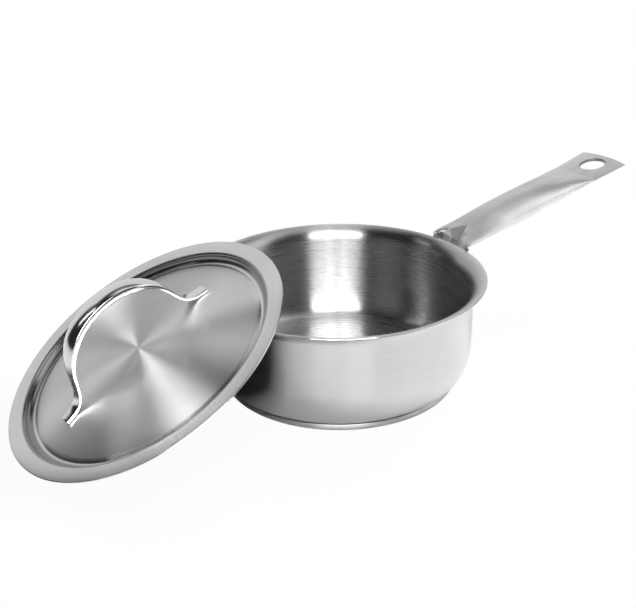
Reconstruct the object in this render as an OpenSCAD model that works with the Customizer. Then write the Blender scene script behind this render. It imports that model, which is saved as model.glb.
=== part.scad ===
// Saute pan with a flared rim, a tubular handle and a stepped lid with a strap handle.
// Sizes are in millimetres. The pan stands on z = 0 with its axis on z, and its handle
// points along +x. The lid leans on the far side of the rim with its edge on the table.

/* [Pan body] */
// Inside diameter of the straight wall
mouth_d = 160; // [150:1:180]
// Height from the table to the top of the rim
pan_h = 66.5; // [62:0.5:72]
// Thickness of the drawn steel wall
wall_t = 0.8; // [0.6:0.1:1.2]
// Radius of the pouring rim's outer curve
flare_r = 7.6; // [6:0.2:9]
// How far the foot of the wall curves inward
belly_in = 10.5; // [8:0.5:14]
// How high the curved foot of the wall reaches
belly_h = 22; // [16:1:26]

/* [Base] */
// Thickness of the aluminium core
core_t = 4.5; // [3.5:0.5:6]
// Thickness of the steel cap around the core
cap_t = 0.5; // [0.4:0.1:0.8]
// How far the base stands in from the wall
base_inset = 10.6; // [8:0.2:14]
// Height of the open groove between the cap and the wall
groove_h = 0.9; // [0.5:0.1:1.5]
// Depth of that groove
groove_d = 0.8; // [0.4:0.1:1.2]
// Outer corner radius of the cap
cap_corner_r = 1.6; // [1:0.1:2.4]

/* [Long handle] */
// Distance from the rim to the tip
handle_out = 142.8; // [120:0.1:160]
// Rise of the handle above level, in degrees
handle_rise = 10.9; // [7:0.1:14]
// Wall of the handle tube
tube_t = 1; // [0.8:0.1:1.3]
// Slit left inside the tube where it is pressed flat
press_slit = 0.2; // [0.1:0.05:0.4]
// Height of the tube at its fullest
tube_h = 16; // [13:0.5:19]
// Width across the tube where it is pressed flat before the tip plate
flat_w = 35.8; // [31:0.1:37]
// Width at the tip
tip_w = 39; // [37:0.1:42]
// Length of the flat tip plate
plate_len = 31; // [26:0.5:36]
// Radius of the curved tip edge
tip_edge_r = 64; // [50:1:90]
// Diameter of the hanging hole across the handle
hole_d = 15.4; // [12:0.2:17]
// How much longer than wide the hanging hole is
hole_extra = 2; // [0.6:0.2:4]
// Distance from the tip to the middle of the hanging hole
hole_back = 14.4; // [12:0.2:16]
// How far the neck bend stands outside the rim
neck_out = 6.2; // [5.5:0.1:8]
// How far the neck bend stands above the rim
neck_up = 4.1; // [3:0.1:6]
// Height of the tube at the neck bend
neck_h = 8; // [6.5:0.5:8.5]
// How much nearer to the rim the neck's sides bend than its middle
neck_wing = 3; // [2:0.5:3]
// Width of the flange on the wall
flange_w = 39; // [36:0.5:40]
// Height of the lower edge of the flange on the wall
flange_low = 31; // [29:0.5:35]
// Height where the flange leaves the wall
flange_top = 45; // [42:0.5:47]
// Clearance between the flange and the wall
flange_gap = 0.25; // [0.2:0.05:0.4]
// Diameter of each weld spot on the wall
wall_spot_d = 4; // [3:0.2:5]
// Distance between the weld spots across the flange
wall_spot_gap = 12; // [9:0.5:13]

/* [Lid] */
// Thickness of the lid's sheet
lid_t = 0.8; // [0.6:0.1:1]
// How far the lid's flange reaches past the rim
lid_over = 0.7; // [0.3:0.1:1.5]
// Clearance between the lid's locating wall and the pan's wall
lid_fit = 0.6; // [0.4:0.1:1.2]
// Depth of the step below the flange
step_h = 4.6; // [3.5:0.1:5.5]
// Height of the lid's crown above the flange
crown_h = 3.8; // [2.5:0.1:5]
// Radius of the bend from the flange into the step
step_r = 1.6; // [1.3:0.1:2.2]
// Radius of the bend at the foot of the step
groove_bend_r = 3.8; // [2.6:0.2:4.4]

/* [Lid handle] */
// Height of the strap's underside above the flange at the top of the arch
strap_rise = 38.8; // [34:0.1:46]
// Width of the strap over the arch
strap_w = 14; // [12:0.5:17]
// Width of the strap's feet
foot_w = 8; // [7:0.5:11]
// Length of the flat part of each foot
foot_len = 5; // [4:0.5:8]
// Thickness of the strap's sheet
strap_t = 1.5; // [1.2:0.1:1.9]
// Depth of the strap's turned edges over the arch
edge_h = 3.3; // [2.5:0.1:3.6]
// Height of the crown across the strap
strap_crown = 1.3; // [0.8:0.1:2]
// Radius under the top of the arch
arch_r = 46; // [42:1:50]
// Radius under the shoulders of the arch
shoulder_r = 34.4; // [31:0.1:36]
// Radius under the bend from leg to foot
foot_r = 14.5; // [12:0.5:16]
// Lean of the strap's legs above level, in degrees
leg_lean = 69; // [66:1:72]
// Turn of the strap from the way the lid slopes, in degrees
strap_turn = 7.5; // [-20:0.5:20]
// How far the strap's middle stands from the lid's middle, down the slope
strap_shift = 2.5; // [0:0.5:4]
// How far the strap's middle stands to one side of the lid's middle
strap_side = -1.5; // [-3:0.5:3]
// Clearance between the strap's feet and the lid
foot_gap = 0.15; // [0.1:0.05:0.3]
// Diameter of each weld spot
foot_spot_d = 2.8; // [2:0.2:3.2]

/* [Leaning lid] */
// Tilt of the lid from level, in degrees
lean_tilt = 29.7; // [27:0.1:33]
// Way the lid faces, in degrees from the handle
lean_facing = 174.2; // [150:0.1:210]
// How far the lid's middle stands to one side
lean_side = -4; // [-8:0.5:8]
// Clearance between the lid and the rim it leans on
lean_gap = 0.35; // [0.3:0.05:0.6]

/* [Hidden] */
$fn = 96;
arc_n = 10;
weld_slip = 0.04;

// Pan levels and radii
wall_ir = mouth_d / 2;
wall_or = wall_ir + wall_t;
floor_low = cap_t + core_t;
flat_r = wall_or - belly_in;
flare_z = pan_h - wall_t - flare_r;
lip_r = wall_or + flare_r;
rim_r = lip_r + wall_t / 2;
cap_r = wall_or - base_inset;
core_r = cap_r - cap_t;
cap_top = floor_low - groove_h;

// Points along an arc or a quarter of an ellipse
function arc_points(cx, cy, rx, ry, from, to, n) =
    [for (i = [0:n]) let (a = from + (to - from) * i / n) [cx + rx * cos(a), cy + ry * sin(a)]];

function clip(x) = min(1, max(0, x));
function smooth(x) = clip(x) * clip(x) * (3 - 2 * clip(x));
function mix(a, b, x) = a + (b - a) * x;

module pan_body() {
    outer = concat(
        [[0, floor_low]],
        arc_points(flat_r, floor_low + belly_h, belly_in, belly_h, -90, 0, 2 * arc_n),
        arc_points(lip_r, flare_z, flare_r, flare_r, 180, 90, arc_n),
        arc_points(lip_r, pan_h - wall_t / 2, wall_t / 2, wall_t / 2, -45, 45, 2)
    );
    inner = concat(
        arc_points(lip_r, flare_z, flare_r + wall_t, flare_r + wall_t, 90, 180, arc_n),
        arc_points(flat_r, floor_low + belly_h, belly_in - wall_t, belly_h - wall_t, 0, -90, 2 * arc_n),
        [[0, floor_low + wall_t]]
    );
    color("silver") rotate_extrude() polygon(concat(outer, inner));
}

// The core is narrower at the top, which leaves the groove open all round
module base_core() {
    corner = cap_corner_r - cap_t;
    profile = concat(
        [[0, cap_t]],
        arc_points(core_r - corner, cap_t + corner, corner, corner, -90, 0, 5),
        [[core_r, cap_top], [core_r - groove_d, cap_top], [core_r - groove_d, floor_low], [0, floor_low]]
    );
    color("gainsboro") rotate_extrude() polygon(profile);
}

module base_cap() {
    corner = cap_corner_r - cap_t;
    profile = concat(
        [[0, 0]],
        arc_points(cap_r - cap_corner_r, cap_corner_r, cap_corner_r, cap_corner_r, -90, 0, 5),
        [[cap_r, cap_top], [core_r, cap_top]],
        arc_points(core_r - corner, cap_t + corner, corner, corner, 0, -90, 5),
        [[0, cap_t]]
    );
    color("darkgray") rotate_extrude() polygon(profile);
}

// Long handle: one tube, pressed flat on the wall and at the tip. Its middle line runs up the
// wall, out past the rim and along a straight rise, and each ring of points lies square to it.
flat_half = tube_t + press_slit / 2;
flange_x = wall_or + flange_gap + flat_half;
neck_x = rim_r + neck_out;
neck_z = pan_h + neck_up;
ramp_a = atan2(neck_z - flange_top, neck_x - flange_x);
wall_bend_r = 6;
neck_bend_r = 7;
wall_tan = wall_bend_r * tan((90 - ramp_a) / 2);
neck_tan = neck_bend_r * tan((ramp_a - handle_rise) / 2);
tip_x = rim_r + handle_out;
plate_x = tip_x - plate_len * cos(handle_rise);
function rise_z(x) = neck_z + (x - neck_x) * tan(handle_rise);

// Each station holds x, z and the heading of the middle line
function bend_stations(px, pz, r, tangent, a_in, a_out, n) =
    let (sx = px - tangent * cos(a_in), sz = pz - tangent * sin(a_in))
    let (cx = sx + r * sin(a_in), cz = sz - r * cos(a_in))
    [for (i = [0:n]) let (a = a_in + (a_out - a_in) * i / n) [cx - r * sin(a), cz + r * cos(a), a]];

body_n = 30;
plate_n = 4;
body_start = neck_x + neck_tan * cos(handle_rise);
stations = concat(
    [[flange_x, flange_low, 90], [flange_x, mix(flange_low, flange_top - wall_tan, 0.5), 90]],
    bend_stations(flange_x, flange_top, wall_bend_r, wall_tan, 90, ramp_a, 3),
    bend_stations(neck_x, neck_z, neck_bend_r, neck_tan, ramp_a, handle_rise, 5),
    [for (i = [1:body_n]) let (x = mix(body_start, plate_x, i / body_n)) [x, rise_z(x), handle_rise]],
    [for (i = [1:plate_n]) let (x = mix(plate_x, tip_x, i / plate_n)) [x, rise_z(x), handle_rise]]
);

// How full the tube is: flat on the wall, half open at the neck, full in the middle, flat at the plate
fullness_power = 0.65;
function swell(x) = pow(max(0, sin(180 * clip((x - neck_x) / (plate_x - neck_x)))), fullness_power);
function neck_part(x) = 1 - clip((x - neck_x) / (plate_x - neck_x));
function half_h(x) =
    x < neck_x
        ? mix(flat_half, neck_h / 2, smooth((x - flange_x) / (neck_x - flange_x)))
        : flat_half + (tube_h / 2 - flat_half) * swell(x) + (neck_h / 2 - flat_half) * pow(neck_part(x), 12);
side_squeeze = 0.3;
function half_w(x) =
    let (flat = mix(flat_w, tip_w, clip((x - plate_x) / (tip_x - plate_x))) / 2)
    let (squeezed = flat - side_squeeze * (half_h(x) - flat_half))
    mix(flange_w / 2, squeezed, pow(smooth((x - flange_x) / (neck_x - flange_x)), 3));

// The top is pressed in behind the rim: a dent that runs out to a point along the handle,
// between sides that stand up nearer to the rim
dent_half_w = 6.5;
dent_len = 14;
dent_press = 0.9;
function dent_fade(x) =
    x < neck_x ? smooth((x - flange_x - 2) / (neck_x - flange_x - 2)) : 1 - clip((x - neck_x) / dent_len);
function dent(x, y) =
    let (w = dent_half_w * (0.4 + 0.6 * dent_fade(x)))
    let (q = clip(abs(y) / w))
    dent_press * dent_fade(x) * (1 - q * q) * (1 - q * q);
wing_len = 14;
wing_x = mix(flange_x, neck_x, 0.5);
wing_power = 2.3;
function wing_fade(x) =
    x < neck_x
        ? pow(clip((x - wing_x) / (neck_x - wing_x)), wing_power)
        : 1 - clip((x - neck_x) / wing_len);
function wing(x, y) = neck_wing * wing_fade(x) * smooth((abs(y) - 3) / 12);

section_power = 2.3;
ring_half = 14;
function signed_pow(v, p) = sign(v) * pow(abs(v), p);
function tip_back(x, y) =
    clip((x - plate_x) / (tip_x - plate_x)) * (tip_edge_r - sqrt(tip_edge_r * tip_edge_r - y * y));
function wrap_back(x, y) =
    (1 - smooth((x - flange_x) / (neck_x - flange_x))) * (wall_or - sqrt(wall_or * wall_or - y * y));

// One point of a ring; inset shrinks the ring for the hollow inside
function ring_point(s, a, inset) =
    let (b = half_h(s[0]) - inset, w = half_w(s[0]) - inset)
    let (y = w * signed_pow(cos(a), 2 / section_power))
    let (up = b * signed_pow(sin(a), 2 / section_power))
    let (m = up > 0 ? up * (1 - dent(s[0], y)) : up)
    let (side = wing(s[0], y), back = side + tip_back(s[0], y) + wrap_back(s[0], y))
    [s[0] - m * sin(s[2]) - back, y, s[1] + m * cos(s[2]) - side * tan(handle_rise)];

function ring(s, inset) =
    [for (i = [0:2 * ring_half - 1]) ring_point(s, 180 * (i + 0.5) / ring_half, inset)];

// A closed skin over rings of n points. Each ring's first half runs across its upper side and
// its second half runs back across its lower side, so each end is closed like a ladder.
module skin(rings) {
    n = len(rings[0]);
    last = (len(rings) - 1) * n;
    sides = [
        for (i = [0:len(rings) - 2], j = [0:n - 1])
            let (a = i * n + j, b = i * n + (j + 1) % n)
            each [[a, a + n, b], [b, a + n, b + n]]
    ];
    first_end = [for (j = [0:n / 2 - 2]) let (k = n - 1 - j) each [[j, j + 1, k], [j + 1, k - 1, k]]];
    last_end = [for (f = first_end) [f[0] + last, f[2] + last, f[1] + last]];
    polyhedron(points = [for (r = rings) each r], faces = concat(sides, first_end, last_end), convexity = 6);
}

// The tube's hollow opens as a slit under the flange and ends at the tip plate
module long_handle() {
    below = [flange_x, flange_low - tube_t, 90];
    hollow = concat([below], [for (s = stations) if (s[0] < plate_x - tube_t) s]);
    hole_x = tip_x - hole_back * cos(handle_rise);
    color("lightgray") difference() {
        skin([for (s = stations) ring(s, 0)]);
        skin([for (s = hollow) ring(s, tube_t)]);
        translate([hole_x, 0, rise_z(hole_x)]) rotate([0, -handle_rise, 0]) {
            for (side = [-1, 1])
                translate([side * hole_extra / 2, 0, 0]) cylinder(d = hole_d, h = 6 * tube_t, center = true);
            cube([hole_extra, hole_d, 6 * tube_t], center = true);
        }
    }
}

// Weld spots join the flange to the wall through the clearance between them
module handle_spot_welds() {
    spot_z = (flange_low + flange_top - wall_tan) / 2;
    turn = asin(wall_spot_gap / wall_or);
    color("gray") for (side = [-1, 0, 1])
        rotate([0, 0, side * turn]) translate([wall_or + weld_slip / 2, 0, spot_z]) rotate([0, 90, 0])
            cylinder(d = wall_spot_d, h = flange_gap - 2 * weld_slip, $fn = 32);
}

// Lid: flange, step, groove and crowned panel. Height 0 is the top of the flange. The bend from
// the flange runs into the bend of the groove, with an upright wall between them if there is room.
lid_r = rim_r + lid_over;
lid_wall_r = wall_ir - lid_fit - lid_t;
groove_r = lid_wall_r - groove_bend_r;
both_bends = groove_bend_r + step_r;
bend_lift = max(0, both_bends - step_h);
wall_a = asin(bend_lift / both_bends);
bend_r = groove_r + both_bends * cos(wall_a);
groove_a = 18;
groove_low_a = -90 - 0.9 * groove_a;
panel_r = groove_r - groove_bend_r * sin(groove_a);
panel_low = -step_h + groove_bend_r * (1 - cos(groove_a));
panel_power = 0.85;
function panel_h(r) = panel_low + (crown_h - panel_low) * pow(max(0, 1 - pow(r / panel_r, 2)), panel_power);
function panel_slope(r) = panel_h(r + 0.5) - panel_h(r - 0.5);

module lid_shell() {
    panel = [for (i = [0:18]) panel_r * i / 18];
    groove_z = groove_bend_r - step_h;
    top = concat(
        [for (r = panel) [r, panel_h(r)]],
        arc_points(groove_r, groove_z, groove_bend_r, groove_bend_r, groove_low_a, -wall_a, 8),
        arc_points(bend_r, -step_r, step_r, step_r, 180 - wall_a, 90, 6),
        [[lid_r - lid_t / 2, 0], [lid_r, -lid_t / 2]]
    );
    inner_r = step_r - lid_t;
    outer_r = groove_bend_r + lid_t;
    under = concat(
        [[lid_r - lid_t / 2, -lid_t]],
        arc_points(bend_r, -step_r, inner_r, inner_r, 90, 180 - wall_a, 6),
        arc_points(groove_r, groove_z, outer_r, outer_r, -wall_a, groove_low_a, 8),
        [for (i = [18:-1:0]) [panel[i], panel_h(panel[i]) - lid_t]]
    );
    color("silver") lean() rotate_extrude() polygon(concat(top, under));
}

// The lid rests with its edge on the table and its panel on the rim. Its distance from the pan's
// axis is found by moving it until the gap to the rim is lean_gap.
lean_z = (lid_r - lid_t / 2) * sin(lean_tilt) + lid_t / 2 * (1 + cos(lean_tilt));
lip_up = pan_h - wall_t / 2 - lean_z;
function lean_miss(u) =
    let (h = (lip_r - u) * sin(lean_tilt) + lip_up * cos(lean_tilt))
    let (r = (u - lip_r) * cos(lean_tilt) + lip_up * sin(lean_tilt))
    h - (panel_h(r) - lid_t - wall_t / 2 - lean_gap);
function settle(u, steps) = steps == 0 ? u : settle(u + lean_miss(u) / sin(lean_tilt), steps - 1);
lean_out = settle(rim_r + lid_r * 0.4, 12);

module lean() {
    rotate([0, 0, lean_facing]) translate([lean_out, lean_side, lean_z]) rotate([0, lean_tilt, 0])
        children();
}

// Strap handle. Half of its underside line, from the top of the arch out to the foot: the top
// arc, the shoulder arc, the straight leg, the bend and the foot. side is 1 or -1.
crown_a = 14;
foot_mid_x = 51;
foot_a = -atan(panel_slope(foot_mid_x));
shoulder_x = (arch_r - shoulder_r) * sin(crown_a);
shoulder_z = strap_rise - arch_r + (arch_r - shoulder_r) * cos(crown_a);
leg_top = [shoulder_x + shoulder_r * sin(leg_lean), shoulder_z + shoulder_r * cos(leg_lean)];
function leg_len(foot_z) = (leg_top[1] - foot_z - foot_r * (cos(foot_a) - cos(leg_lean))) / sin(leg_lean);
function foot_start(foot_z) =
    leg_top[0] + leg_len(foot_z) * cos(leg_lean) + foot_r * (sin(leg_lean) - sin(foot_a));
function foot_rest(side, mid_x) =
    panel_h(mid_x + side * strap_shift) + foot_gap + foot_len / 2 * tan(foot_a);
function foot_height(side) =
    foot_rest(side, foot_start(foot_rest(side, foot_mid_x)) + foot_len / 2);
function foot_place(side) = foot_start(foot_height(side));

// Each strap station holds x, height, slope angle and how far it is down the leg
leg_n = 4;
function half_line(side) =
    let (foot_x = foot_place(side), foot_z = foot_height(side))
    let (bend_mid = [foot_x + foot_r * sin(foot_a), foot_z + foot_r * cos(foot_a)])
    concat(
        [for (i = [0:2]) let (a = crown_a * i / 3)
            [arch_r * sin(a), strap_rise - arch_r * (1 - cos(a)), a, 0]],
        [for (i = [0:11]) let (a = mix(crown_a, leg_lean, i / 12))
            [shoulder_x + shoulder_r * sin(a), shoulder_z + shoulder_r * cos(a), a, 0.6 * i / 12]],
        [for (i = [0:leg_n - 1]) let (d = leg_len(foot_z) * i / leg_n)
            [leg_top[0] + d * cos(leg_lean), leg_top[1] - d * sin(leg_lean), leg_lean,
                mix(0.6, 0.8, i / leg_n)]],
        [for (i = [0:8]) let (a = mix(leg_lean, foot_a, i / 8))
            [bend_mid[0] - foot_r * sin(a), bend_mid[1] - foot_r * cos(a), a, mix(0.8, 1, i / 8)]],
        [for (i = [1:2]) let (d = foot_len * i / 2)
            [foot_x + d * cos(foot_a), foot_z - d * sin(foot_a), foot_a, 1]]
    );

foot_edge_h = strap_t + 0.3;
foot_crown = 0.3;
strap_across = [for (i = [0:8]) 1 - i / 4];
function strap_ring(p) =
    let (k = smooth((p[3] - 0.2) / 0.5), narrow = smooth((p[3] - 0.15) / 0.5))
    let (w = mix(strap_w, foot_w, narrow) / 2, inner_w = w - strap_t)
    let (e = mix(edge_h, foot_edge_h, k), c = mix(strap_crown, foot_crown, k))
    let (top = [for (q = strap_across) [w * q, e + c * (1 - q * q)]])
    let (under = [for (q = strap_across) [-inner_w * q, e - strap_t + c * (1 - pow(q * inner_w / w, 2))]])
    let (outline = concat([[w, 0]], top, [[-w, 0], [-inner_w, 0]], under, [[inner_w, 0]]))
    [for (v = outline) [p[0] + v[1] * sin(p[2]), v[0], p[1] + v[1] * cos(p[2])]];

module on_strap() {
    lean() rotate([0, 0, strap_turn]) translate([strap_shift, strap_side, 0]) children();
}

module lid_handle() {
    far = half_line(-1);
    near = half_line(1);
    line = concat([for (i = [len(far) - 1:-1:1]) let (p = far[i]) [-p[0], p[1], -p[2], p[3]]], near);
    color("whitesmoke") on_strap() skin([for (p = line) strap_ring(p)]);
}

// Two weld spots, side by side, join each foot to the lid
module lid_spot_welds() {
    color("gray") on_strap() for (side = [-1, 1], y = [-foot_w / 4, foot_w / 4])
        let (x = foot_place(side) + foot_len / 2)
        translate([side * x, y, panel_h(x + side * strap_shift) + foot_gap / 2])
            rotate([0, side * foot_a, 0])
                cylinder(d = foot_spot_d, h = foot_gap - 2 * weld_slip, center = true, $fn = 32);
}

pan_body();
base_core();
base_cap();
long_handle();
handle_spot_welds();
lid_shell();
lid_handle();
lid_spot_welds();
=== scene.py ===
from math import asin, atan, atan2, copysign, cos, degrees, pi, radians, sin, sqrt, tan

import bmesh
import bpy
from mathutils import Matrix, Vector


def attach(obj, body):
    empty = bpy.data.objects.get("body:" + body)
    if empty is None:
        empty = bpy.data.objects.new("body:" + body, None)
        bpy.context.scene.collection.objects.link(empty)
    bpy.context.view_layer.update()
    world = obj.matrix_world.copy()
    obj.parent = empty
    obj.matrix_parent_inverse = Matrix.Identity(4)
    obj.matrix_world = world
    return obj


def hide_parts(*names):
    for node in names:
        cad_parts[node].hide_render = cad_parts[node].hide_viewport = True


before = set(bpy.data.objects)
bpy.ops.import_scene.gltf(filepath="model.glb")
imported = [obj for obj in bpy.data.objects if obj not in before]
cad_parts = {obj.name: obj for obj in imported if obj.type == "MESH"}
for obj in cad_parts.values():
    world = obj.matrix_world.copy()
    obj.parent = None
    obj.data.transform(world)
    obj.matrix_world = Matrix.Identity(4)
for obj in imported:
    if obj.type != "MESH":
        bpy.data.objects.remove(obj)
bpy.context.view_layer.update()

# the pieces' values are millimetres and degrees, as in the part's source; those of the stage
# (room, floor, lamps, camera) are metres and degrees
# the pan's inner tone is a painted shade on the inside of the wall
pan = dict(mouthD=160, height=66.5, wall=0.8, flareR=7.6, bellyIn=10.5, bellyH=22, lipA=80,
           outerShare=0.62, innerShadeTone=0.43, sideFrom=0.1, sideTo=0.6,
           around=256, floorRings=12, bellySteps=40, wallRings=6, flareSteps=24, lipSteps=8)
wallIr = pan["mouthD"] / 2
wallOr = wallIr + pan["wall"]
lipR = wallOr + pan["flareR"]
rimR = lipR + pan["wall"] / 2


def clip(v):
    return min(1.0, max(0.0, v))


def smooth(v):
    v = clip(v)
    return v * v * (3 - 2 * v)


def mix(a, b, t):
    return a + (b - a) * t


def sag(r, y):
    # how far a circle of radius r falls back at y beside its foremost point
    return r - sqrt(r * r - y * y)


def arc(cx, cz, rx, rz, start, end, count):
    angles = [radians(start + (end - start) * i / count) for i in range(count + 1)]
    return [(cx + rx * cos(a), cz + rz * sin(a)) for a in angles]


def spinShape(points, steps):
    # turn a profile of (radius, height) round the z axis
    sameSpot = 2e-6
    bm = bmesh.new()
    verts = [bm.verts.new((r / 1000, 0, z / 1000)) for r, z in points]
    edges = [bm.edges.new(pair) for pair in zip(verts, verts[1:])]
    bmesh.ops.spin(bm, geom=verts + edges, cent=(0, 0, 0), axis=(0, 0, 1), angle=2 * pi,
                   steps=steps, use_merge=True, use_duplicate=False)
    bmesh.ops.remove_doubles(bm, verts=bm.verts, dist=sameSpot)
    bmesh.ops.recalc_face_normals(bm, faces=bm.faces)
    return bm


def tubeShape(along, around, place):
    # roll a grid into a tube; place(i, j) is the point of ring i at step j, in millimetres
    sameSpot = 1e-6
    bm = bmesh.new()
    bmesh.ops.create_grid(bm, x_segments=along, y_segments=around, size=0.5)
    for v in bm.verts:
        i = round((v.co.x + 0.5) * along)
        j = round((v.co.y + 0.5) * around) % around
        v.co = Vector(place(i, j)) / 1000
    bmesh.ops.remove_doubles(bm, verts=bm.verts, dist=sameSpot)
    openEnds = [e for e in bm.edges if e.is_boundary]
    if openEnds:
        bmesh.ops.holes_fill(bm, edges=openEnds, sides=0)
    bmesh.ops.recalc_face_normals(bm, faces=bm.faces)
    return bm


def meshFrom(bm, name):
    mesh = bpy.data.meshes.new(name)
    bm.to_mesh(mesh)
    bm.free()
    return mesh


def smoothFaces(mesh, sharp):
    for face in mesh.polygons:
        face.use_smooth = True
    mesh.set_sharp_from_angle(angle=radians(sharp))


def addObject(name, data):
    thing = bpy.data.objects.new(name, data)
    bpy.context.scene.collection.objects.link(thing)
    return thing


def finishPiece(name, bm, material, body, nodes, sharp=35):
    mesh = meshFrom(bm, name)
    smoothFaces(mesh, sharp)
    mesh.materials.append(material)
    piece = addObject(name, mesh)
    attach(piece, body)
    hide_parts(*nodes)
    return piece


# shader nodes: addNode gives back the new node's outputs, the others the one output that counts

def addNode(tree, kind, inputs=None, **settings):
    node = tree.nodes.new("ShaderNode" + kind)
    for key, value in settings.items():
        setattr(node, key, value)
    for socket, source in (inputs or {}).items():
        if isinstance(source, bpy.types.NodeSocket):
            tree.links.new(source, node.inputs[socket])
        else:
            node.inputs[socket].default_value = source
    return node.outputs


def addMath(tree, operation, *values):
    return addNode(tree, "Math", dict(enumerate(values)), operation=operation)[0]


def addVector(tree, operation, *values):
    outputs = addNode(tree, "VectorMath", dict(enumerate(values)), operation=operation)
    return outputs["Value" if operation in ("LENGTH", "DOT_PRODUCT") else "Vector"]


def addRamp(tree, value, start, end, low=0.0, high=1.0):
    return addNode(tree, "MapRange", {0: value, 1: start, 2: end, 3: low, 4: high})[0]


def addMix(tree, share, first, second):
    return addNode(tree, "Mix", {0: share, 2: first, 3: second})[0]


def addToneMix(tree, share, first, second):
    return addNode(tree, "Mix", {0: share, 6: first, 7: second}, data_type="RGBA")[2]


def addNoise(tree, place, scale, detail):
    return addNode(tree, "TexNoise", {"Vector": place, "Scale": scale, "Detail": detail})[0]


def addGrey(tree, value):
    return addNode(tree, "CombineXYZ", {0: value, 1: value, 2: value})[0]


def addLevel(tree, vector):
    # the part of a vector that lies level with the ground
    return addVector(tree, "MULTIPLY", vector, (1, 1, 0))


def grey(value, blue=None):
    # a neutral colour, or one with a slight cast of blue
    return (value, value, value if blue is None else blue, 1)


# what turning and brushing leave on steel: the share of the height in the count of rings, the
# wide lines against the fine ones, where each noise starts and ends, and how much of the dark
# tone the smudges and the streaks bring
marks = dict(heightShare=1.37, wideShare=0.15, fineDetail=4, ringDetail=3, lineDetail=2,
             smudgeDetail=3, noiseFrom=0.3, noiseTo=0.7, toneFrom=0.35, toneTo=0.65,
             smudgeDark=0.6, streakDark=0.4)


def makeLines(name, floats, layOut):
    # a group with three outputs: fine relief, streaks of two widths, and smudges
    group = bpy.data.node_groups.new(name, "ShaderNodeTree")
    group.interface.new_socket("Position", in_out="INPUT", socket_type="NodeSocketVector")
    for label, value in floats.items():
        socket = group.interface.new_socket(label, in_out="INPUT", socket_type="NodeSocketFloat")
        socket.default_value = value
    for label in ("Height", "Streak", "Cloud"):
        group.interface.new_socket(label, in_out="OUTPUT", socket_type="NodeSocketFloat")
    given = group.nodes.new("NodeGroupInput").outputs
    leave = group.nodes.new("NodeGroupOutput").inputs
    fine, wide = layOut(group, given)
    group.links.new(fine, leave["Height"])
    group.links.new(addMix(group, 0.5, fine, wide), leave["Streak"])
    cloud = addNoise(group, given["Position"], given["Smudge"], marks["smudgeDetail"])
    group.links.new(cloud, leave["Cloud"])
    return group


def layRings(group, given):
    # fine rings round z, broken up along their length
    parts = addNode(group, "SeparateXYZ", {0: given["Position"]})
    flat = addNode(group, "CombineXYZ", {0: parts["X"], 1: parts["Y"]})[0]
    radius = addVector(group, "LENGTH", flat)
    turn = addVector(group, "NORMALIZE", flat)
    profile = addMath(group, "MULTIPLY_ADD", parts["Z"], marks["heightShare"], radius)
    across = addMath(group, "MULTIPLY", profile, given["Fineness"])
    spread = addNode(group, "VectorMath", {0: turn, 3: given["Breaks"]}, operation="SCALE")[0]
    parts = addNode(group, "SeparateXYZ", {0: spread})
    fineSpot = addNode(group, "CombineXYZ", {0: parts["X"], 1: parts["Y"], 2: across})[0]
    slow = addMath(group, "MULTIPLY", across, marks["wideShare"])
    slowSpot = addNode(group, "CombineXYZ", {2: slow})[0]
    return (addNoise(group, fineSpot, 1, marks["fineDetail"]),
            addNoise(group, slowSpot, 1, marks["ringDetail"]))


def layStraight(group, given):
    # straight fine lines along x
    stretched = addNode(group, "CombineXYZ", {0: given["Stretch"], 1: 1, 2: 1})[0]
    spot = addVector(group, "MULTIPLY", given["Position"], stretched)
    slow = addMath(group, "MULTIPLY", given["Fineness"], marks["wideShare"])
    return (addNoise(group, spot, given["Fineness"], marks["fineDetail"]),
            addNoise(group, spot, slow, marks["lineDetail"]))


turnedLines = makeLines("turnedLines", dict(Fineness=2600, Breaks=6, Smudge=30), layRings)
brushedLines = makeLines("brushedLines", dict(Fineness=3000, Stretch=0.015, Smudge=40),
                         layStraight)


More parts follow.
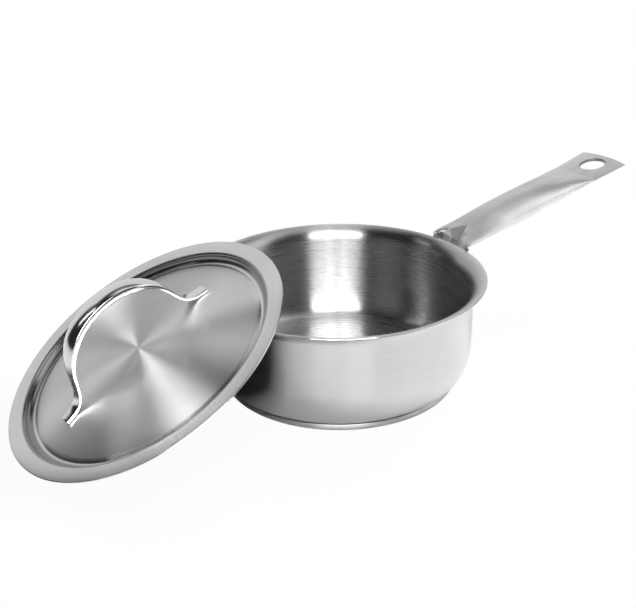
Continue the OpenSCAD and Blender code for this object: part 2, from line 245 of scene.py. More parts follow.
def makeSteel(name, lines, light, dark, smoothest, roughest, stretch, bump, fineness,
              centre=(0, 0, 0), turned=(0, 0, 0), axis=(0, 0, 1), straight=False,
              finer=None, paintedShade=None):
    # lines is the group; centre and turned place its z (or x) on the piece, axis is that way;
    # finer(tree, local) gives a mask, and the share of the roughness that is left where it is
    # 1; the last function gives a mask, and the darker colour painted there as shade
    material = bpy.data.materials.new(name)
    material.use_nodes = True
    tree = material.node_tree
    shader = tree.nodes["Principled BSDF"].inputs
    shader["Metallic"].default_value = 1
    shader["Anisotropic"].default_value = stretch
    spot = addNode(tree, "TexCoord")["Object"]
    local = addNode(tree, "Mapping", {"Vector": spot, "Location": centre, "Rotation": turned},
                    vector_type="TEXTURE")[0]
    drawn = addNode(tree, "Group", {"Position": local, "Fineness": fineness}, node_tree=lines)
    rough = addRamp(tree, drawn["Streak"], marks["noiseFrom"], marks["noiseTo"],
                    smoothest, roughest)
    if finer:
        mask, share = finer(tree, local)
        rough = addMath(tree, "MULTIPLY", rough, addRamp(tree, mask, 0.0, 1.0, 1.0, share))
    worn = addRamp(tree, drawn["Cloud"], marks["noiseFrom"], marks["noiseTo"],
                   0.0, marks["smudgeDark"])
    shade = addRamp(tree, drawn["Streak"], marks["toneFrom"], marks["toneTo"],
                    0.0, marks["streakDark"])
    tone = addToneMix(tree, addMath(tree, "ADD", worn, shade), light, dark)
    # painted shade: under the mask the tone gives way to a darker one
    if paintedShade:
        mask, paintedShadeTone = paintedShade(tree, local)
        tone = addToneMix(tree, mask, tone, paintedShadeTone)
    relief = addNode(tree, "Bump", {"Strength": 1.0, "Distance": bump,
                                    "Height": drawn["Height"]})[0]
    # the sheen spreads across the lines: the tangent lies square to them on the surface
    normal = addNode(tree, "NewGeometry")["Normal"]
    along = axis
    if not straight:
        arm = addVector(tree, "SUBTRACT", spot, centre)
        along = addVector(tree, "CROSS_PRODUCT", axis, arm)
    across = addVector(tree, "CROSS_PRODUCT", along, normal)
    for socket, source in (("Roughness", rough), ("Base Color", tone), ("Normal", relief),
                           ("Tangent", across)):
        tree.links.new(source, shader[socket])
    return material


# pan body: one drawn sheet, turned inside and out

def wallFacing(tree, local):
    # how far the surface looks outward: 1 outside the wall, -1 inside it, 0 on the floor
    normal = addNode(tree, "NewGeometry")["Normal"]
    outward = addVector(tree, "NORMALIZE", addLevel(tree, local))
    return addVector(tree, "DOT_PRODUCT", outward, normal)


def outerSide(tree, local):
    # the outside of the wall is polished smoother
    side = addRamp(tree, wallFacing(tree, local), pan["sideFrom"], pan["sideTo"])
    return side, pan["outerShare"]


def innerWallShade(tree, local):
    # painted shade: the inside of the wall gets a darker tone that stands in for the shade inside
    # the pan
    side = addRamp(tree, wallFacing(tree, local), -pan["sideTo"], -pan["sideFrom"], 1.0, 0.0)
    return side, grey(pan["innerShadeTone"])


def makePan():
    wall, rings = pan["wall"], pan["wallRings"]
    floorLow = base["core"] + base["cap"]
    flatR = wallOr - pan["bellyIn"]
    floorR = [flatR * i / pan["floorRings"] for i in range(pan["floorRings"])]
    bellyZ = floorLow + pan["bellyH"]
    flareZ = pan["height"] - wall - pan["flareR"]
    innerFlare = pan["flareR"] + wall
    profile = (
        [(r, floorLow) for r in floorR]
        + arc(flatR, bellyZ, pan["bellyIn"], pan["bellyH"], -90, 0, pan["bellySteps"])
        + [(wallOr, mix(bellyZ, flareZ, i / rings)) for i in range(1, rings)]
        + arc(lipR, flareZ, pan["flareR"], pan["flareR"], 180, 90, pan["flareSteps"])
        + arc(lipR, pan["height"] - wall / 2, wall / 2, wall / 2, -pan["lipA"], pan["lipA"],
              pan["lipSteps"])
        + arc(lipR, flareZ, innerFlare, innerFlare, 90, 180, pan["flareSteps"])
        + [(wallIr, mix(flareZ, bellyZ, i / rings)) for i in range(1, rings)]
        + arc(flatR, bellyZ, pan["bellyIn"] - wall, pan["bellyH"] - wall, 0, -90,
              pan["bellySteps"])
        + [(r, floorLow + wall) for r in reversed(floorR)]
    )
    steel = makeSteel("panSteel", turnedLines, light=grey(0.72), dark=grey(0.6, blue=0.61),
                      smoothest=0.24, roughest=0.32, stretch=1, bump=2e-7, fineness=2600,
                      finer=outerSide, paintedShade=innerWallShade)
    finishPiece("panBody", spinShape(profile, pan["around"]), steel, "pan",
                ["pan_body"])


# base: an aluminium core under a steel cap, with an open groove above the cap; the core shows
# only in the groove, and its near black tone is a painted shade there

base = dict(core=4.5, cap=0.5, inset=9.2, grooveH=0.9, grooveD=0.8, cornerR=1.6,
            ease=0.12, easeMid=0.04, capRings=10, outerSteps=12, innerSteps=8)


def makeBase():
    cap, ease, mid = base["cap"], base["ease"], base["easeMid"]
    capR = wallOr - base["inset"]
    coreR = capR - cap
    top = base["core"] + cap
    capTop = top - base["grooveH"]
    corner = base["cornerR"]
    inner = corner - cap
    capProfile = (
        [(capR * i / base["capRings"], 0) for i in range(base["capRings"])]
        + arc(capR - corner, corner, corner, corner, -90, 0, base["outerSteps"])
        + [(capR, capTop - ease), (capR - mid, capTop - mid), (capR - ease, capTop),
           (coreR, capTop)]
        + arc(coreR - inner, cap + inner, inner, inner, 0, -90, base["innerSteps"])
        + [(0, cap)]
    )
    steel = makeSteel("baseSteel", turnedLines, light=grey(0.6), dark=grey(0.48, blue=0.49),
                      smoothest=0.28, roughest=0.4, stretch=0.8, bump=2e-6, fineness=2200)
    finishPiece("baseCap", spinShape(capProfile, pan["around"]), steel, "pan",
                ["base_cap"])
    waist = coreR - base["grooveD"]
    coreProfile = (
        [(0, cap)]
        + arc(coreR - inner, cap + inner, inner, inner, -90, 0, base["innerSteps"])
        + [(coreR, capTop), (waist, capTop), (waist, top), (0, top)]
    )
    # painted shade: the aluminium is given a near black tone so the groove reads as a dark line
    aluminium = makeSteel("coreAluminiumPaintedShade", turnedLines, light=grey(0.14), dark=grey(0.07),
                          smoothest=0.35, roughest=0.5, stretch=0.6, bump=2e-6, fineness=1800)
    finishPiece("baseCore", spinShape(coreProfile, pan["around"]), aluminium, "pan",
                ["base_core"])


# long handle: one tube, pressed flat on the wall and at the tip. Its values go from the tube
# and plate to the flange, the neck, the wings beside the neck, the roof-like upper side, its
# lowered crest, the facet at its root, and the steps of the mesh

handle = dict(
    out=142.8, rise=10.9, tubeT=1, slit=0.2, tubeH=16, flatW=35.8, tipW=39, plateLen=31,
    tipEdgeR=64, holeD=15.4, holeExtra=2, holeBack=14.4, edgeR=0.6, squeeze=0.3, swell=0.65,
    flangeW=39, flangeLow=31, flangeTop=45, flangeGap=0.25, flangeHold=3, wallBendR=6,
    neckOut=6.2, neckUp=4.1, neckH=8, neckFade=12, neckBendR=7,
    wing=5.7, wingLen=14, wingPower=2, wingNear=6, wingFar=9, wingSpread=9,
    power=2.3, roofPower=1.85, roofBack=2, roofLen=22,
    crestDrop=0.45, crestFrom=122, crestTo=104, crestPower=1.3,
    facetTip=(104, 75), facetSlope=0.558, facetHalfW=5.6, facetSide=0.8, facetLean=0.38,
    facetBack=2, facetInset=0.9, facetSoft=1.6,
    around=288, flangeRings=6, wallRings=6, neckRings=12, tubeRings=140, tubeGather=1.25,
    plateRings=20, easeRings=5, closeIn=3, holeSteps=96, cutReach=6)
flatHalf = handle["tubeT"] + handle["slit"] / 2
flangeX = wallOr + handle["flangeGap"] + flatHalf
neckX = rimR + handle["neckOut"]
neckZ = pan["height"] + handle["neckUp"]
riseA = radians(handle["rise"])
rampA = atan2(neckZ - handle["flangeTop"], neckX - flangeX)
tipX = rimR + handle["out"]
plateX = tipX - handle["plateLen"] * cos(riseA)
# the wings begin halfway up the neck
wingX = mix(flangeX, neckX, 0.5)


def riseZ(x):
    return neckZ + (x - neckX) * tan(riseA)


def neckShare(x):
    # 0 on the flange, 1 from the neck on
    return smooth((x - flangeX) / (neckX - flangeX))


def plateShare(x):
    # 0 up to the plate, 1 at the tip
    return clip((x - plateX) / (tipX - plateX))


def bendStations(px, pz, r, tangent, start, end, count):
    sx, sz = px - tangent * cos(start), pz - tangent * sin(start)
    cx, cz = sx + r * sin(start), sz - r * cos(start)
    angles = [mix(start, end, i / count) for i in range(count + 1)]
    return [(cx - r * sin(a), cz + r * cos(a), a) for a in angles]


def handleStations():
    # x, z and heading of the middle line, gathered closer where the neck ends
    wallTan = handle["wallBendR"] * tan((pi / 2 - rampA) / 2)
    neckTan = handle["neckBendR"] * tan((rampA - riseA) / 2)
    low, top, rings = handle["flangeLow"], handle["flangeTop"], handle["flangeRings"]
    line = [(flangeX, mix(low, top - wallTan, i / rings), pi / 2) for i in range(rings)]
    line += bendStations(flangeX, top, handle["wallBendR"], wallTan, pi / 2, rampA,
                         handle["wallRings"])
    line += bendStations(neckX, neckZ, handle["neckBendR"], neckTan, rampA, riseA,
                         handle["neckRings"])
    start = neckX + neckTan * cos(riseA)
    rings = handle["tubeRings"]
    straight = [mix(start, plateX, (i / rings) ** handle["tubeGather"])
                for i in range(1, rings + 1)]
    rings = handle["plateRings"]
    straight += [mix(plateX, tipX, i / rings) for i in range(1, rings + 1)]
    return line + [(x, riseZ(x), riseA) for x in straight]


def halfHeight(x):
    if x < neckX:
        return mix(flatHalf, handle["neckH"] / 2, neckShare(x))
    t = clip((x - neckX) / (plateX - neckX))
    swell = max(0, sin(pi * t)) ** handle["swell"]
    return (flatHalf + (handle["tubeH"] / 2 - flatHalf) * swell
            + (handle["neckH"] / 2 - flatHalf) * (1 - t) ** handle["neckFade"])


def halfWidth(x):
    flat = mix(handle["flatW"], handle["tipW"], plateShare(x)) / 2
    squeezed = flat - handle["squeeze"] * (halfHeight(x) - flatHalf)
    return mix(handle["flangeW"] / 2, squeezed, neckShare(x) ** handle["flangeHold"])


def facetMask(x, y):
    # a flat face behind the rim that runs out to a point on the crest, with a crisp near edge
    tip = handle["facetTip"][0]
    half = handle["facetHalfW"] * clip((tip - x) / (tip - neckX + handle["facetBack"]))
    inside = handle["facetSide"] - y - half + handle["facetInset"]
    return 1 - smooth(inside / handle["facetSoft"])


def wing(x, y):
    # beside the facet the top bends down nearer to the rim
    if x < neckX:
        fade = clip((x - wingX) / (neckX - wingX)) ** handle["wingPower"]
    else:
        fade = 1 - clip((x - neckX) / handle["wingLen"])
    begins = handle["wingFar"] if y > 0 else handle["wingNear"]
    droop = smooth((abs(y) - begins) / handle["wingSpread"])
    return fade * (handle["wing"] * droop + sag(rimR, y))


def topHeight(station, y, full):
    # the roof-like upper side: lower near the neck, and cut off by the facet
    x, z, heading = station
    before = clip((handle["crestFrom"] - x) / (handle["crestFrom"] - handle["crestTo"]))
    low = handle["crestDrop"] * before ** handle["crestPower"]
    roof = full * (1 - low * neckShare(x))
    tip = handle["facetTip"]
    if x >= tip[0]:
        return roof
    slope = handle["facetSlope"]
    rise = tip[1] - (tip[0] - x) * slope + handle["facetLean"] * (y - handle["facetSide"])
    facet = (rise - z) / (cos(heading) + slope * sin(heading))
    return mix(roof, min(roof, facet), facetMask(x, y))


def roofPower(x):
    # stadium-like where the tube is pressed flat, roof-like between
    body = neckShare(x) * smooth((plateX - handle["roofBack"] - x) / handle["roofLen"])
    return mix(handle["power"], handle["roofPower"], body)


def signedPower(v, p):
    return copysign(abs(v) ** p, v)


def handlePoint(station, angle, shrink):
    x, z, heading = station
    b = max(0, halfHeight(x) - shrink)
    w = halfWidth(x) - shrink
    power = roofPower(x) if sin(angle) > 0 else handle["power"]
    y = w * signedPower(cos(angle), 2 / power)
    up = b * signedPower(sin(angle), 2 / power)
    m = topHeight(station, y, up) if up > 0 else up
    side = wing(x, y)
    tipBack = plateShare(x) * sag(handle["tipEdgeR"], y)
    wrapBack = (1 - neckShare(x)) * sag(wallOr, y)
    return (x - m * sin(heading) - side - tipBack - wrapBack, y,
            z + m * cos(heading) - side * tan(riseA))


def slotArm(co):
    # from the middle of the slot's nearer round end to a point of its outline
    return Vector((co.x - copysign(handle["holeExtra"] / 2, co.x), co.y, 0))


def cutHole(piece):
    # the hanging hole: a rounded slot square to the plate, with its edges eased
    ease, reach, radius = handle["edgeR"], handle["cutReach"], handle["holeD"] / 2
    bm = bmesh.new()
    ring = bmesh.ops.create_circle(bm, segments=handle["holeSteps"], radius=radius)["verts"]
    halfStep = radians(180 / handle["holeSteps"])
    bmesh.ops.rotate(bm, verts=ring, matrix=Matrix.Rotation(halfStep, 3, "Z"))
    for v in ring:
        v.co.x += copysign(handle["holeExtra"] / 2, v.co.x)
        v.co.z = -reach
    loop = list(bm.edges)
    for z, grow in ((-flatHalf, ease), (-flatHalf + ease, 0), (flatHalf - ease, 0),
                    (flatHalf, ease), (reach, ease)):
        made = bmesh.ops.extrude_edge_only(bm, edges=loop)["geom"]
        loop = [g for g in made if isinstance(g, bmesh.types.BMEdge)]
        for v in (g for g in made if isinstance(g, bmesh.types.BMVert)):
            v.co.z = z
            away = slotArm(v.co)
            v.co += away.normalized() * (radius + grow - away.length)
    for v in ring:
        v.co += slotArm(v.co).normalized() * ease
    bmesh.ops.holes_fill(bm, edges=[e for e in bm.edges if e.is_boundary], sides=0)
    bmesh.ops.recalc_face_normals(bm, faces=bm.faces)
    holeX = tipX - handle["holeBack"] * cos(riseA)
    tilt = Matrix.Rotation(-riseA, 4, "Y")
    bmesh.ops.transform(bm, verts=bm.verts,
                        matrix=Matrix.Translation((holeX, 0, riseZ(holeX))) @ tilt)
    bmesh.ops.scale(bm, verts=bm.verts, vec=(0.001, 0.001, 0.001))
    mesh = meshFrom(bm, "holeCutter")
    steel = makeSteel("cutEdgeSteel", brushedLines, light=grey(0.3), dark=grey(0.16),
                      smoothest=0.4, roughest=0.6, stretch=0, bump=2e-6, fineness=1500)
    mesh.materials.append(steel)
    cutter = addObject("holeCutter", mesh)
    cut = piece.modifiers.new("hangingHole", "BOOLEAN")
    cut.object = cutter
    cut.solver = "EXACT"
    cut.material_mode = "TRANSFER"
    bpy.context.view_layer.update()
    shown = piece.evaluated_get(bpy.context.evaluated_depsgraph_get())
    done = bpy.data.meshes.new_from_object(shown)
    piece.modifiers.clear()
    old = piece.data
    piece.data = done
    bpy.data.meshes.remove(old)
    bpy.data.objects.remove(cutter)
    smoothFaces(done, sharp=30)


def makeHandle():
    line = [(s, 0) for s in handleStations()]
    ease, rings, closeIn = handle["edgeR"], handle["easeRings"], handle["closeIn"]
    first, last = line[0][0], line[-1][0]
    # each end is rounded over, then drawn to a line that closes it
    starts, ends = [], []
    for k in range(1, rings + 1):
        a = pi / 2 * k / rings
        out, shrink = ease * sin(a) - ease, ease * (1 - cos(a))
        ends.append(((last[0] + out * cos(riseA), last[1] + out * sin(riseA), riseA), shrink))
        starts.insert(0, ((first[0], first[1] - out, pi / 2), shrink))
    line = ([(starts[0][0], closeIn)] + starts + line[1:-1] + ends
            + [(ends[-1][0], closeIn)])
    around = handle["around"]

    def place(i, j):
        station, shrink = line[i]
        return handlePoint(station, 2 * pi * (j + 0.5) / around, shrink)

    steel = makeSteel("handleSteel", brushedLines, light=grey(0.84), dark=grey(0.6, blue=0.61),
                      smoothest=0.26, roughest=0.4, stretch=0.8, bump=5e-7, fineness=1500,
                      turned=(0, -riseA, 0), axis=(cos(riseA), 0, sin(riseA)), straight=True)
    piece = finishPiece("longHandle", tubeShape(len(line) - 1, around, place), steel, "pan",
                        ["long_handle"], sharp=50)
    cutHole(piece)


# lid: flange, step, groove and crowned panel, leaning on the rim; after its shape come the
# lean, with the start and the rounds of the search for its place, where its steel is smoother,
# and where a painted shade darkens the step

lid = dict(sheet=0.8, over=0.7, fit=0.6, stepH=4.6, crownH=3.8, stepR=1.6, grooveR=3.8,
           grooveA=18, grooveRun=0.9, crownPower=0.85,
           tilt=29.7, facing=174.2, side=-4, gap=0.35, firstOut=0.4, leanRounds=12,
           borderIn=3, borderShare=0.55, stepIn=1.2, stepEnds=(-0.4, 0.6), stepShadeTone=0.26,
           around=256, panelRings=60, grooveSteps=20, stepSteps=16, edgeSteps=8)
lidR = rimR + lid["over"]
grooveAt = wallIr - lid["fit"] - lid["sheet"] - lid["grooveR"]
bothBends = lid["grooveR"] + lid["stepR"]
wallA = asin(max(0, bothBends - lid["stepH"]) / bothBends)
bendAt = grooveAt + bothBends * cos(wallA)
panelR = grooveAt - lid["grooveR"] * sin(radians(lid["grooveA"]))
panelLow = -lid["stepH"] + lid["grooveR"] * (1 - cos(radians(lid["grooveA"])))


def panelH(r):
    full = max(0, 1 - (r / panelR) ** 2) ** lid["crownPower"]
    return panelLow + (lid["crownH"] - panelLow) * full


def leanPlace():
    # the lid's edge stands on the table and its panel rests on the rim
    tilt = radians(lid["tilt"])
    leanZ = (lidR - lid["sheet"] / 2) * sin(tilt) + lid["sheet"] / 2 * (1 + cos(tilt))
    lipUp = pan["height"] - pan["wall"] / 2 - leanZ
    out = rimR + lidR * lid["firstOut"]
    for step in range(lid["leanRounds"]):
        h = (lipR - out) * sin(tilt) + lipUp * cos(tilt)
        r = (out - lipR) * cos(tilt) + lipUp * sin(tilt)
        out += (h - (panelH(r) - lid["sheet"] - pan["wall"] / 2 - lid["gap"])) / sin(tilt)
    turn = Matrix.Rotation(radians(lid["facing"]), 4, "Z")
    shift = Matrix.Translation((out / 1000, lid["side"] / 1000, leanZ / 1000))
    return turn @ shift @ Matrix.Rotation(tilt, 4, "Y")


leaning = leanPlace()
lidCentre = leaning.translation
lidAxis = leaning.to_3x3() @ Vector((0, 0, 1))
lidTurn = (0, radians(lid["tilt"]), radians(lid["facing"]))


def lidRamp(tree, local, start, end, low=0.0, high=1.0):
    # a ramp over the distance from the lid's axis, in millimetres
    radius = addVector(tree, "LENGTH", addLevel(tree, local))
    return addRamp(tree, radius, start / 1000, end / 1000, low, high)


def lidBorder(tree, local):
    # 1 on the step and the flange, 0 on the panel
    return lidRamp(tree, local, panelR - lid["borderIn"], panelR), lid["borderShare"]


def lidStepShade(tree, local):
    # 1 on the steep wall between the flange and the groove, which gets a painted shade
    first, last = lid["stepEnds"]
    begins = lidRamp(tree, local, grooveAt, grooveAt + lid["stepIn"])
    ends = lidRamp(tree, local, bendAt + first, bendAt + last, 1.0, 0.0)
    return addMath(tree, "MULTIPLY", begins, ends), grey(lid["stepShadeTone"])


def makeLid():
    sheet, grooveR, stepR = lid["sheet"], lid["grooveR"], lid["stepR"]
    grooveZ = grooveR - lid["stepH"]
    lowA = -90 - lid["grooveRun"] * lid["grooveA"]
    steep = degrees(wallA)
    rings = lid["panelRings"]
    radii = [panelR * sin(pi / 2 * i / rings) for i in range(rings + 1)]

    def grooveArc(r, start, end):
        return arc(grooveAt, grooveZ, r, r, start, end, lid["grooveSteps"])

    def stepArc(r, start, end):
        return arc(bendAt, -stepR, r, r, start, end, lid["stepSteps"])

    profile = (
        [(r, panelH(r)) for r in radii]
        + grooveArc(grooveR, lowA, -steep) + stepArc(stepR, 180 - steep, 90)
        + arc(lidR - sheet / 2, -sheet / 2, sheet / 2, sheet / 2, 90, -90, lid["edgeSteps"])
        + stepArc(stepR - sheet, 90, 180 - steep) + grooveArc(grooveR + sheet, -steep, lowA)
        + [(r, panelH(r) - sheet) for r in reversed(radii)]
    )
    bm = spinShape(profile, lid["around"])
    bmesh.ops.transform(bm, verts=bm.verts, matrix=leaning)
    steel = makeSteel("lidSteel", turnedLines, light=grey(0.75), dark=grey(0.64, blue=0.65),
                      smoothest=0.29, roughest=0.35, stretch=1, bump=3e-8, fineness=2200,
                      centre=lidCentre, turned=lidTurn, axis=lidAxis, finer=lidBorder,
                      paintedShade=lidStepShade)
    finishPiece("lidShell", bm, steel, "lid", ["lid_shell"])


# strap handle: a crowned channel that arches over the lid, with flat feet; the shares say how
# far down the side the leg and the foot's bend begin, and where the section gets narrow and flat

strap = dict(rise=38.8, width=14, footW=8, footLen=5, sheet=1.5, edgeH=3.3, crown=1.5, archR=46,
             shoulderR=34.4, footR=14.5, legLean=69, turn=7.5, shift=2.5, side=-1.5,
             footGap=0.15, crownA=14, footMid=51, footEdge=0.3, footCrown=0.3, bevel=0.5,
             bulge=0.085, sideRows=(0, 0.38, 0.62),
             legShare=0.6, bendShare=0.8, narrowShare=0.15, flatShare=0.2, blend=0.5,
             archSteps=8, shoulderSteps=24, legSteps=10, bendSteps=20, footSteps=5, topHalf=8,
             cornerA=40, bevelSteps=3)
# the feet lie along the slope of the panel under them
footA = -atan(panelH(strap["footMid"] + 0.5) - panelH(strap["footMid"] - 0.5))
legLean = radians(strap["legLean"])
crownA = radians(strap["crownA"])


def strapLine(side):
    # half of the underside line, top of the arch to the foot: x, height, slope, share of the
    # way down
    archR, shoulderR, footR = strap["archR"], strap["shoulderR"], strap["footR"]
    rise, footLen, legShare = strap["rise"], strap["footLen"], strap["legShare"]
    shoulderX = (archR - shoulderR) * sin(crownA)
    shoulderZ = rise - archR + (archR - shoulderR) * cos(crownA)
    topX, topZ = shoulderX + shoulderR * sin(legLean), shoulderZ + shoulderR * cos(legLean)

    def legLen(footZ):
        return (topZ - footZ - footR * (cos(footA) - cos(legLean))) / sin(legLean)

    def footStart(footZ):
        return topX + legLen(footZ) * cos(legLean) + footR * (sin(legLean) - sin(footA))

    def footRest(mid):
        ground = panelH(mid + side * strap["shift"])
        return ground + strap["footGap"] + footLen / 2 * tan(footA)

    footZ = footRest(footStart(footRest(strap["footMid"])) + footLen / 2)
    footX, leg = footStart(footZ), legLen(footZ)
    bendX, bendZ = footX + footR * sin(footA), footZ + footR * cos(footA)
    line = []
    count = strap["archSteps"]
    for i in range(count):
        a = crownA * i / count
        line.append((archR * sin(a), rise - archR * (1 - cos(a)), a, 0))
    count = strap["shoulderSteps"]
    for i in range(count):
        a = mix(crownA, legLean, i / count)
        line.append((shoulderX + shoulderR * sin(a), shoulderZ + shoulderR * cos(a), a,
                     legShare * i / count))
    count = strap["legSteps"]
    for i in range(count):
        d = leg * i / count
        line.append((topX + d * cos(legLean), topZ - d * sin(legLean), legLean,
                     mix(legShare, strap["bendShare"], i / count)))
    count = strap["bendSteps"]
    for i in range(count + 1):
        a = mix(legLean, footA, i / count)
        line.append((bendX - footR * sin(a), bendZ - footR * cos(a), a,
                     mix(strap["bendShare"], 1, i / count)))
    count = strap["footSteps"]
    for i in range(1, count + 1):
        d = footLen * i / count
        line.append((footX + d * cos(footA), footZ - d * sin(footA), footA, 1))
    return line


def strapSection(down):
    # outline across the strap: upper side, edges turned down, and the channel underneath
    narrow = smooth((down - strap["narrowShare"]) / strap["blend"])
    flat = smooth((down - strap["flatShare"]) / strap["blend"])
    sheet = strap["sheet"]
    w = mix(strap["width"], strap["footW"], narrow) / 2
    edge = mix(strap["edgeH"], sheet + strap["footEdge"], flat)
    crown = mix(strap["crown"], strap["footCrown"], flat)
    inner = w - sheet
    bulge = strap["bulge"] * edge
    half = strap["topHalf"]
    across = [1 - i / half for i in range(2 * half + 1)]
    side = [(w - bulge * (2 * t - 1) ** 2, edge * t) for t in strap["sideRows"]]
    top = [((w - bulge) * q, edge + crown * (1 - q * q)) for q in across]
    under = [(-inner * q, edge - sheet + crown * (1 - (q * inner / w) ** 2)) for q in across]
    return (side + top + [(-y, z) for y, z in reversed(side)] + [(-inner, 0)] + under
            + [(inner, 0)])


def makeStrap():
    far, near = strapLine(-1), strapLine(1)
    line = [(-x, z, -a, down) for x, z, a, down in reversed(far[1:])] + near
    sections = [strapSection(p[3]) for p in line]

    def place(i, j):
        x, z, a, down = line[i]
        y, up = sections[i][j]
        return (x + up * sin(a), y, z + up * cos(a))

    bm = tubeShape(len(line) - 1, len(sections[0]), place)
    onLid = (leaning @ Matrix.Rotation(radians(strap["turn"]), 4, "Z")
             @ Matrix.Translation((strap["shift"] / 1000, strap["side"] / 1000, 0)))
    bmesh.ops.transform(bm, verts=bm.verts, matrix=onLid)
    sharpest = radians(strap["cornerA"])
    corners = [e for e in bm.edges if e.is_manifold and e.calc_face_angle() > sharpest]
    bmesh.ops.bevel(bm, geom=corners, offset=strap["bevel"] / 1000, offset_type="OFFSET",
                    segments=strap["bevelSteps"], profile=0.5, affect="EDGES", material=-1,
                    clamp_overlap=True)
    steel = makeSteel("strapSteel", brushedLines, light=grey(0.8), dark=grey(0.72, blue=0.73),
                      smoothest=0.12, roughest=0.18, stretch=0.2, bump=3e-7, fineness=1800,
                      centre=lidCentre, turned=lidTurn, axis=onLid.to_3x3() @ Vector((1, 0, 0)),
                      straight=True)
    finishPiece("lidHandle", bm, steel, "lid", ["lid_handle"], sharp=30)


def dressWelds():
    # the weld spots keep the solid's own shape
    steel = makeSteel("weldSteel", brushedLines, light=grey(0.5), dark=(0.34, 0.33, 0.32, 1),
                      smoothest=0.3, roughest=0.5, stretch=0, bump=2e-6, fineness=2000)
    for node in ("handle_spot_welds", "lid_spot_welds"):
        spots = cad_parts[node]
        spots.data.materials.clear()
        spots.data.materials.append(steel)


print("pan and base")
makePan()
makeBase()
print("long handle")
makeHandle()
print("lid and its strap")
makeLid()
makeStrap()
print("weld spots")
dressWelds()


# stage: pale floor, the room that the steel mirrors, studio lamps and camera

# the camera sees the floor a little grey in the middle and white further out; under the leaning
# lid, in an ellipse round shadeAt, the floor is dark to all but the camera
ground = dict(size=6, drop=0.0002, mirrored=0.12, nearFrom=0.2, nearTo=0.5, nearTone=0.965,
              shadeAt=(-0.15, 0.03, 0), shadeR=(0.1, 0.075, 1), shadeFrom=0.75, shadeTo=1.15,
              shadeTone=0.05, clearTone=0.92)


def makeFloor():
    bm = bmesh.new()
    bmesh.ops.create_grid(bm, x_segments=1, y_segments=1, size=ground["size"])
    bmesh.ops.translate(bm, verts=bm.verts, vec=(0, 0, -ground["drop"]))
    mesh = meshFrom(bm, "floor")
    floor = addObject("floor", mesh)
    material = bpy.data.materials.new("paleFloor")
    material.use_nodes = True
    tree = material.node_tree
    tree.nodes.clear()
    ray = addNode(tree, "LightPath")
    mirrored = addMath(tree, "MULTIPLY", ray["Is Glossy Ray"], ground["mirrored"])
    seen = addMath(tree, "MAXIMUM", ray["Is Camera Ray"], mirrored)
    spot = addNode(tree, "TexCoord")["Object"]
    near = addRamp(tree, addVector(tree, "LENGTH", spot), ground["nearFrom"], ground["nearTo"],
                   ground["nearTone"], 1.0)
    # little light gets in under the leaning lid, and the wall beside it mirrors that
    apart = addVector(tree, "SUBTRACT", spot, ground["shadeAt"])
    apart = addVector(tree, "LENGTH", addVector(tree, "DIVIDE", apart, ground["shadeR"]))
    clear = addRamp(tree, apart, ground["shadeFrom"], ground["shadeTo"],
                    ground["shadeTone"], ground["clearTone"])
    shade = addMath(tree, "MAXIMUM", clear, ray["Is Camera Ray"])
    share = addMath(tree, "MULTIPLY", seen, addMath(tree, "MULTIPLY", near, shade))
    matt = addNode(tree, "BsdfDiffuse", {"Color": addGrey(tree, clear)})[0]
    white = addNode(tree, "Emission", {"Color": (1, 1, 1, 1), "Strength": 1})[0]
    both = addNode(tree, "MixShader", {0: share, 1: matt, 2: white})[0]
    addNode(tree, "OutputMaterial", {0: both})
    mesh.materials.append(material)


room = dict(dim=0.02, backAzimuth=64, back=0.78, backFrom=0.58, backTo=0.68,
            wallTop=0.71, wallBlend=0.07,
            ceilingFrom=0.83, ceilingBlend=0.06, ceiling=0.8, ceilingX=(-0.15, 0.05),
            sideAzimuth=325, side=1.35, sideHalf=23, sideSoft=5, sideTop=(0.9, 0.97))


def makeWorld():
    # a pale wall behind, the near edge of a ceiling, a tall soft panel at the right, and dim
    # everywhere else; the camera itself sees white
    world = bpy.data.worlds.new("studio")
    world.use_nodes = True
    bpy.context.scene.world = world
    tree = world.node_tree
    tree.nodes.clear()
    way = addNode(tree, "TexCoord")["Generated"]
    parts = addNode(tree, "SeparateXYZ", {0: way})
    wayX, wayZ = parts["X"], parts["Z"]
    level = addVector(tree, "NORMALIZE", addLevel(tree, way))

    def toward(azimuth):
        # 1 where the level part of the way points to this azimuth
        a = radians(azimuth)
        return addVector(tree, "DOT_PRODUCT", level, (cos(a), sin(a), 0))

    wall = addRamp(tree, toward(room["backAzimuth"]), room["backFrom"], room["backTo"],
                   room["dim"], room["back"])
    top = addRamp(tree, wayZ, room["wallTop"], room["wallTop"] + room["wallBlend"])
    above = addRamp(tree, wayZ, room["ceilingFrom"], room["ceilingFrom"] + room["ceilingBlend"])
    ceiling = addRamp(tree, wayX, *room["ceilingX"], room["dim"], room["ceiling"])
    ceiling = addMix(tree, above, room["dim"], ceiling)
    lit = addMix(tree, top, wall, ceiling)
    half, soft = room["sideHalf"], room["sideSoft"]
    panel = addRamp(tree, toward(room["sideAzimuth"]), cos(radians(half + soft)),
                    cos(radians(half - soft)))
    under = addRamp(tree, wayZ, *room["sideTop"], 1.0, 0.0)
    lit = addMix(tree, addMath(tree, "MULTIPLY", panel, under), lit, room["side"])
    seen = addNode(tree, "Background", {"Color": (1, 1, 1, 1), "Strength": 1})[0]
    around = addNode(tree, "Background", {"Color": addGrey(tree, lit), "Strength": 1})[0]
    camera = addNode(tree, "LightPath")["Is Camera Ray"]
    both = addNode(tree, "MixShader", {0: camera, 1: around, 2: seen})[0]
    addNode(tree, "OutputWorld", {0: both})


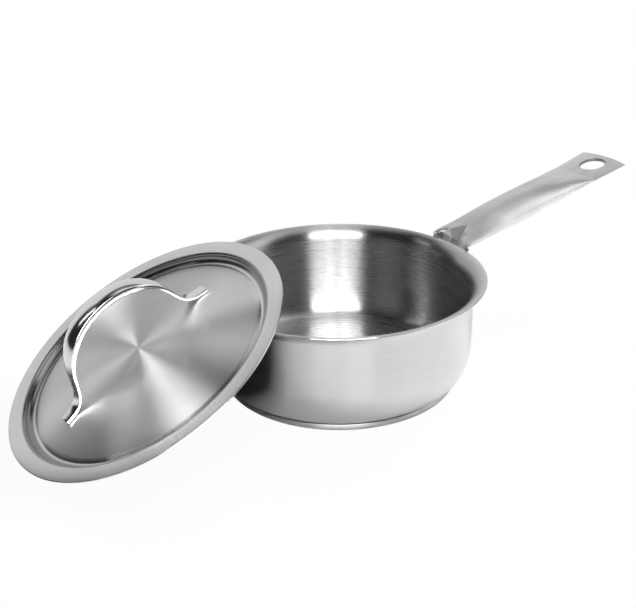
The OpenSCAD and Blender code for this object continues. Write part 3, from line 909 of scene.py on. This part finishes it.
# the boxes show in the steel only, the floor lamp lights the floor only; each looks at a point
# in the middle of the pan
aimZ = 0.03
softBoxes = [
    dict(name="leftBox", azimuth=222, elevation=30, distance=1.5, size=(0.42, 0.9), power=13),
    dict(name="middleBox", azimuth=237, elevation=30, distance=1.52, size=(0.4, 0.9), power=10.5),
    dict(name="rightBox", azimuth=252, elevation=30, distance=1.5, size=(0.46, 0.9), power=14),
    dict(name="slimBox", azimuth=142, elevation=40, distance=1.5, size=(0.09, 0.6), power=0.55),
]
floorLamp = dict(name="floorLight", azimuth=5, elevation=55, distance=1.5, size=(0.9, 0.9),
                 power=23)


def addLamp(name, azimuth, elevation, distance, size, power):
    a, e = radians(azimuth), radians(elevation)
    way = Vector((cos(a) * cos(e), sin(a) * cos(e), sin(e)))
    data = bpy.data.lights.new(name, "AREA")
    data.shape = "RECTANGLE"
    data.size, data.size_y = size
    data.energy = power
    lamp = addObject(name, data)
    lamp.location = way * distance + Vector((0, 0, aimZ))
    lamp.rotation_euler = (-way).to_track_quat("-Z", "Y").to_euler()
    return lamp


# placed from the photograph: where the pan's rim, base and lid fall in the frame
view = dict(place=(-0.3506, -0.4897, 0.3197), forward=(0.5143, 0.7520, -0.4124),
            right=(0.8217, -0.5698, -0.0144), focalPixels=1082.7, widthPixels=636, sensor=36,
            nearest=0.01)


def makeCamera():
    forward = Vector(view["forward"]).normalized()
    up = Vector(view["right"]).normalized().cross(forward).normalized()
    right = forward.cross(up)
    data = bpy.data.cameras.new("camera")
    data.sensor_width = view["sensor"]
    data.sensor_fit = "HORIZONTAL"
    data.lens = view["focalPixels"] * view["sensor"] / view["widthPixels"]
    data.clip_start = view["nearest"]
    camera = addObject("camera", data)
    turn = Matrix((right, up, -forward)).transposed().to_4x4()
    camera.matrix_world = Matrix.Translation(view["place"]) @ turn
    bpy.context.scene.camera = camera


print("stage, lights and camera")
makeFloor()
makeWorld()
for box in softBoxes:
    addLamp(**box).visible_diffuse = False
addLamp(**floorLamp).visible_glossy = False
makeCamera()
bpy.context.scene.view_settings.view_transform = "Standard"
